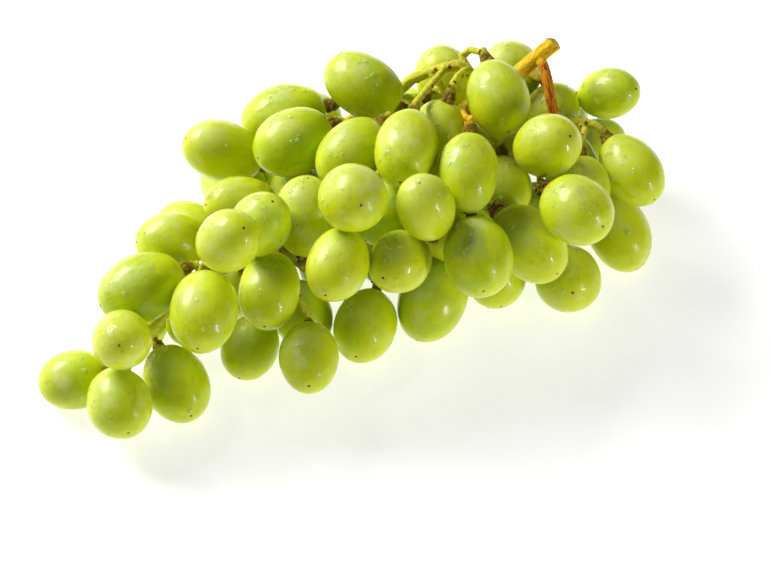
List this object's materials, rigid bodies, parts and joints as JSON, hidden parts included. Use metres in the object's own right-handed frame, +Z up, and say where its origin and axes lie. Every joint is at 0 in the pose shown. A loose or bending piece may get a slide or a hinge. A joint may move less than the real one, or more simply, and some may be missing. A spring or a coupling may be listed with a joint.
{
  "type": "bunch of grapes",
  "caption": "Bunch of pale green seedless table grapes lying on its side: a cut, branching stalk that ends in a short stem under every oval, waxy grape.",
  "frame": {"origin": "on the table, in the middle of the lying bunch's box", "axes": "+Z up, +X along the bunch from its thin tip to the cut stalk, -Y the side that faces the front"},
  "size_m": [0.1982, 0.1146, 0.0696],
  "materials": {
    "grape_skin": "translucent yellow-green skin with a thin waxy bloom, fine specks and a mist of water drops",
    "stalk_bark": "matt ochre to green bark with brown scars, and rough dark brown swellings under the grapes"
  },
  "bodies": {
    "root": {"grape_01": "grape_skin", "grape_02": "grape_skin", "grape_03": "grape_skin", "grape_04": "grape_skin", "grape_05": "grape_skin", "grape_06": "grape_skin", "grape_07": "grape_skin", "grape_08": "grape_skin", "grape_09": "grape_skin", "grape_10": "grape_skin", "grape_11": "grape_skin", "grape_12": "grape_skin", "grape_13": "grape_skin", "grape_14": "grape_skin", "grape_15": "grape_skin", "grape_16": "grape_skin", "grape_17": "grape_skin", "grape_18": "grape_skin", "grape_19": "grape_skin", "grape_20": "grape_skin", "grape_21": "grape_skin", "grape_22": "grape_skin", "grape_23": "grape_skin", "grape_24": "grape_skin", "grape_25": "grape_skin", "grape_26": "grape_skin", "grape_27": "grape_skin", "grape_28": "grape_skin", "grape_29": "grape_skin", "grape_30": "grape_skin", "grape_31": "grape_skin", "grape_32": "grape_skin", "grape_33": "grape_skin", "grape_34": "grape_skin", "grape_35": "grape_skin", "grape_36": "grape_skin", "grape_37": "grape_skin", "grape_38": "grape_skin", "grape_39": "grape_skin", "grape_40": "grape_skin", "grape_41": "grape_skin", "grape_42": "grape_skin", "grape_43": "grape_skin", "grape_44": "grape_skin", "grape_45": "grape_skin", "grape_47": "grape_skin", "grape_48": "grape_skin", "grape_49": "grape_skin", "grape_50": "grape_skin", "grape_51": "grape_skin", "grape_53": "grape_skin", "grape_54": "grape_skin", "grapes_46": "grape_skin", "grapes_52": "grape_skin", "grapes_55": "grape_skin", "grapes_56": "grape_skin", "grapes_57": "grape_skin", "grapes_58": "grape_skin", "grapes_59": "grape_skin", "stalk": "stalk_bark"}
  },
  "joints": []
}
